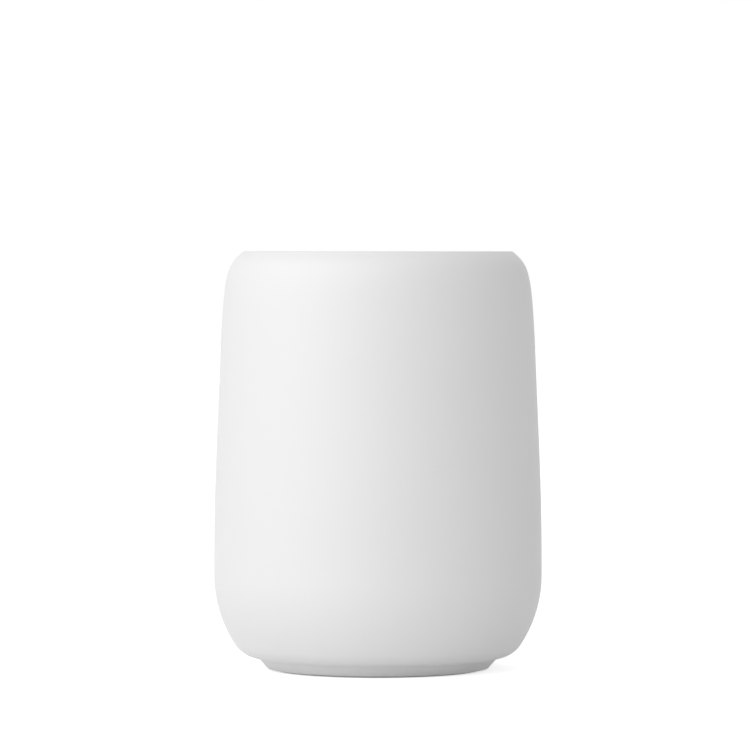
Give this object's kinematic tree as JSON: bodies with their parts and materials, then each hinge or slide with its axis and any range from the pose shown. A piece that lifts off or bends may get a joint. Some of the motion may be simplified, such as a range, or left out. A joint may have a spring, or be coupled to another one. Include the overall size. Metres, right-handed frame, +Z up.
{
  "type": "pen holder cup",
  "caption": "Round pen holder cup with a slightly bowed wall, a rounded turned-in rim and a small tapered foot with a non-slip ring.",
  "frame": {"origin": "centre of the circle that the cup stands on, level with the underside of the non-slip ring", "axes": "+Z up along the cup's axis, from the standing face to the mouth; X and Y are free, because every piece is turned about Z"},
  "size_m": [0.08, 0.08, 0.102],
  "materials": {
    "cup_ceramic": "white slip-cast stoneware, soft-touch matt coat outside, satin glaze inside",
    "ring_silicone": "milky grey silicone rubber, matt",
    "ring_adhesive": "translucent pressure-sensitive adhesive film"
  },
  "bodies": {
    "root": {"cup_body": "cup_ceramic", "non_slip_ring": "ring_silicone", "ring_adhesive": "ring_adhesive"}
  },
  "joints": []
}
